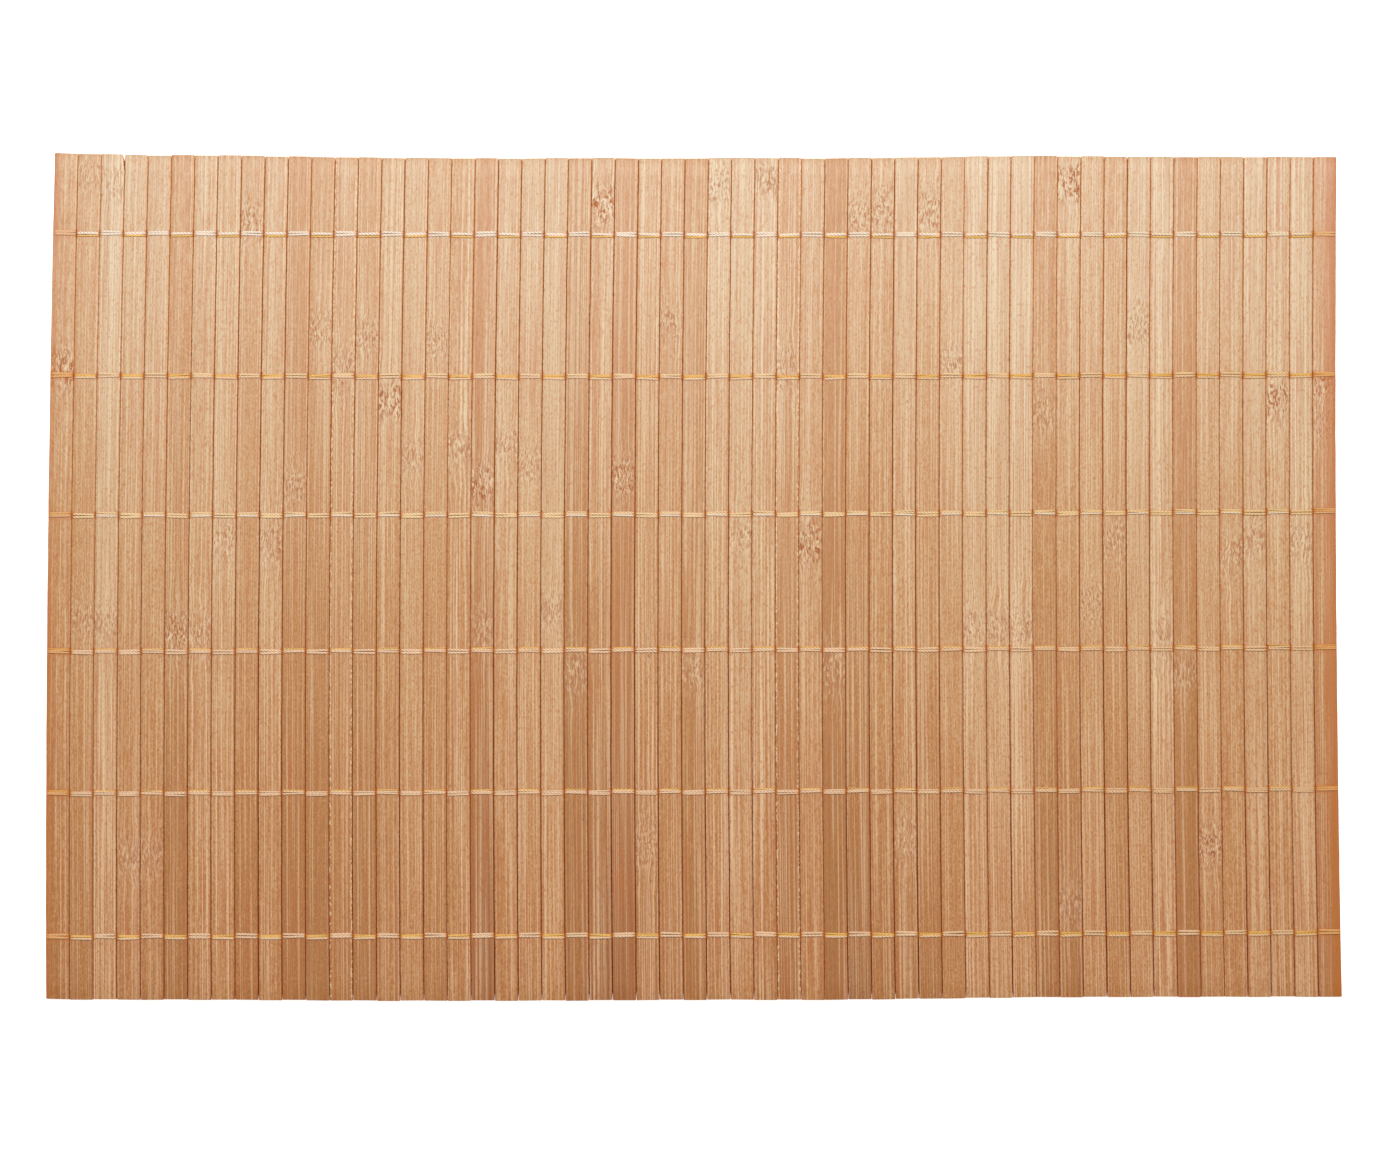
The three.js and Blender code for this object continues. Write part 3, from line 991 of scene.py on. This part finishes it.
def twined_row(row, settings, chance):
    """One piece: the strands of both cords of a row."""
    dyes = {"w": settings.white, "c": settings.cream, "y": settings.yellow, "g": settings.gold}
    places, twists, sunk_shades, colours, faces = [], [], [], [], []
    for cord in ("odd", "even"):
        shares = [STRAND_SHARES[letter] for letter in row[cord]]
        widths = [settings.cord_width / MM * share / sum(shares) for share in shares]
        edge = sum(widths) / 2
        for letter, width in zip(row[cord], widths):
            offset = edge - width / 2
            edge -= width
            if letter == "-":
                continue
            path = strand_path(row, cord, offset, settings, chance)
            points, twist, sunk_shade = sweep_strand(path, width, settings)
            first = sum(len(block) for block in places)
            new_faces = tube_faces(len(path), STRAND_SIDES)
            faces += [tuple(corner + first for corner in face) for face in new_faces]
            aged = np.clip(points[:, 0] / MM / (MAT_WIDTH / 2), 0.0, 1.0)
            dye = np.array(dyes[letter]) * (1.0 - aged[:, None] * YELLOWING)
            places.append(points)
            twists.append(twist)
            sunk_shades.append(sunk_shade)
            colours.append(np.column_stack([dye, np.ones(len(points))]))
    points = np.concatenate(places)
    mesh = bpy.data.meshes.new(f"yarn_{row['node']}")
    mesh.from_pydata(points.tolist(), [], faces)
    mesh.validate()
    mesh.update()
    stain_start = MAT_WIDTH / 2 - PITCH * YARN_STAIN_WIDTH
    stained = np.clip((np.abs(points[:, 0] / MM) - stain_start) / YARN_STAIN_BLUR, 0.0, 1.0)
    add_attribute(mesh, "twist", "FLOAT_VECTOR", np.concatenate(twists))
    add_attribute(mesh, "dye", "FLOAT_COLOR", np.concatenate(colours))
    add_attribute(mesh, "stain", "FLOAT", stained * YARN_STAIN)
    add_attribute(mesh, "sunk_shade", "FLOAT", np.concatenate(sunk_shades))
    piece = bpy.data.objects.new(f"yarn_{row['node']}", mesh)
    bpy.context.collection.objects.link(piece)
    face_outward(piece, YARN_SHARPNESS)
    return piece


class PLACEMAT_OT_yarn(bpy.types.Operator):
    """Twine the six rows of yarn over and under the slats"""

    bl_idname = "placemat.yarn"
    bl_label = "Yarn rows"

    def execute(self, context):
        settings = context.scene.placemat_yarn
        chance = random.Random(YARN_SEED)
        material = yarn_finish(settings)
        for row in YARN_ROWS:
            piece = twined_row(row, settings, chance)
            piece.data.materials.append(material)
            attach(piece, BODY)
            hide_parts(row["node"])
        return {"FINISHED"}


class PLACEMAT_OT_glue(bpy.types.Operator):
    """Put the beads of glue in the last gap, beside each row of yarn"""

    bl_idname = "placemat.glue"
    bl_label = "Glue beads"

    def execute(self, context):
        low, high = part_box(SHARED_NODE)
        last_gap = high.x - (PITCH - CAD_GAP / 2) * MM
        deselect_all()
        beads = []
        for row in YARN_ROWS:
            y = row["y"] + row["drift"][2] + ROW_SHIFT + BEAD_BESIDE_ROW
            bpy.ops.mesh.primitive_uv_sphere_add(
                segments=BEAD_SEGMENTS, ring_count=BEAD_RINGS, radius=1.0,
                location=(last_gap + bow_at(y) * MM, y * MM, BEAD_HEIGHT * MM),
                scale=[half * MM for half in BEAD_SIZE],
            )
            beads.append(context.object)
        for bead in beads:
            bead.select_set(True)
        bpy.ops.object.join()
        piece = context.object
        piece.name = piece.data.name = "glue_beads"
        bpy.ops.object.transform_apply(location=True, rotation=True, scale=True)
        bpy.ops.object.shade_smooth()
        piece.data.materials.append(glue_finish(context.scene.placemat_slats))
        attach(piece, BODY)
        return {"FINISHED"}


class PLACEMAT_OT_stage(bpy.types.Operator):
    """Lay a white table under the mat and light it softly"""

    bl_idname = "placemat.stage"
    bl_label = "Table and light"

    def execute(self, context):
        stage = context.scene.placemat_stage
        deselect_all()
        bpy.ops.mesh.primitive_plane_add(size=TABLE_SIZE, location=(0.0, 0.0, 0.0))
        table = context.object
        table.name = "table"
        table.data.materials.append(table_finish(stage.shade_under_mat))
        deselect_all()
        aim = Vector((0.0, 0.0, 0.0)) - Vector(SOFTBOX_PLACE)
        turn = aim.to_track_quat("-Z", "Y").to_euler()
        bpy.ops.object.light_add(type="AREA", location=SOFTBOX_PLACE, rotation=turn)
        softbox = context.object
        softbox.name = "far_softbox"
        softbox.data.shape = "RECTANGLE"
        softbox.data.size, softbox.data.size_y = SOFTBOX_SIZE
        softbox.data.energy = stage.key_power
        world = context.scene.world or bpy.data.worlds.new("room")
        context.scene.world = world
        world.use_nodes = True
        background = world.node_tree.nodes["Background"]
        background.inputs["Color"].default_value = (1.0, 1.0, 1.0, 1.0)
        background.inputs["Strength"].default_value = stage.sky
        context.scene.view_settings.view_transform = "Standard"
        return {"FINISHED"}


class PLACEMAT_PT_panel(bpy.types.Panel):
    """The steps that make the placemat"""

    bl_idname = "PLACEMAT_PT_panel"
    bl_label = "Bamboo placemat"
    bl_space_type = "VIEW_3D"
    bl_region_type = "UI"
    bl_category = "Placemat"

    def draw(self, context):
        for settings in SETTINGS:
            group = getattr(context.scene, settings)
            for name in group.bl_rna.properties.keys():
                if name not in ("name", "rna_type"):
                    self.layout.prop(group, name)
        for operator in OPERATORS:
            self.layout.operator(operator.bl_idname)


OPERATORS = (
    PLACEMAT_OT_camera,
    PLACEMAT_OT_slats,
    PLACEMAT_OT_yarn,
    PLACEMAT_OT_glue,
    PLACEMAT_OT_stage,
)
CLASSES = (*SETTINGS.values(), *OPERATORS, PLACEMAT_PT_panel)


def register():
    for made in CLASSES:
        bpy.utils.register_class(made)
    for name, group in SETTINGS.items():
        setattr(bpy.types.Scene, name, bpy.props.PointerProperty(type=group))


def unregister():
    for name in SETTINGS:
        delattr(bpy.types.Scene, name)
    for made in reversed(CLASSES):
        bpy.utils.unregister_class(made)


def main():
    register()
    bpy.ops.placemat.camera()
    bpy.ops.placemat.slats()
    bpy.ops.placemat.yarn()
    bpy.ops.placemat.glue()
    bpy.ops.placemat.stage()


if __name__ == "__main__":
    main()
